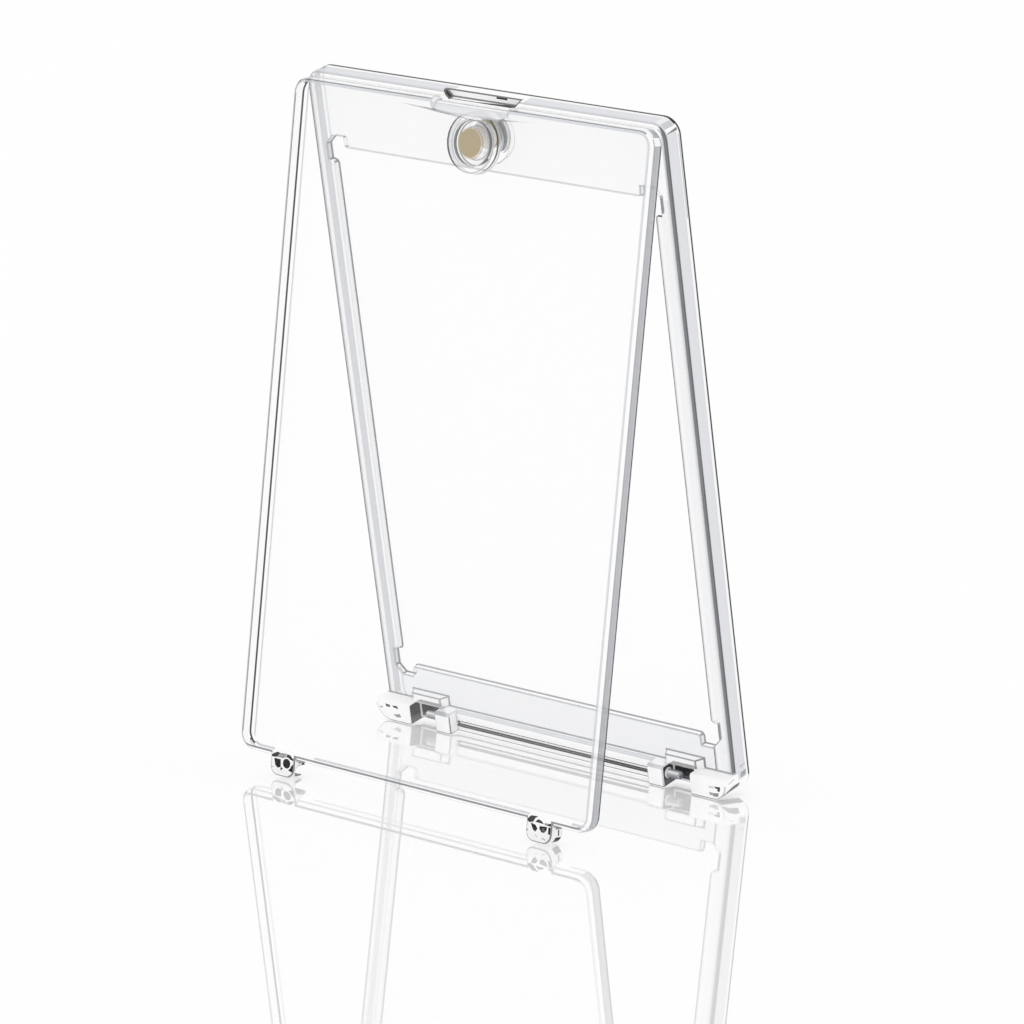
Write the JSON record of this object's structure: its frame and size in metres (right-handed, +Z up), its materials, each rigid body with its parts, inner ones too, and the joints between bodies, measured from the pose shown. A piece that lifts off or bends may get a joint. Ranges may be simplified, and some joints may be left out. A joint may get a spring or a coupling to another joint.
{
  "type": "trading card display case",
  "caption": "Clear two-shell display case for a trading card, with a shallow card well, hooked hinge lugs and magnet closure, standing open as a tent.",
  "frame": {"origin": "middle of the space that the standing case takes up, on the surface it stands on", "axes": "+Z up, +X across the case, -Y out of the cover's outer face, where the case is looked at from"},
  "size_m": [0.0726, 0.0416, 0.1115],
  "materials": {
    "clear_plastic": "clear, polished",
    "magnet_plating": "pale gold plating, satin"
  },
  "bodies": {
    "base": {"base_shell": "clear_plastic", "base_magnet": "magnet_plating"},
    "cover": {"cover_shell": "clear_plastic", "cover_magnet": "magnet_plating"}
  },
  "joints": [
    {"name": "cover_swing", "type": "hinge", "parent": "base", "child": "cover", "pos_m": [0, -0.00463, 0.10998], "axis": [1, 0, 0], "range_deg": [0, 18]}
  ]
}
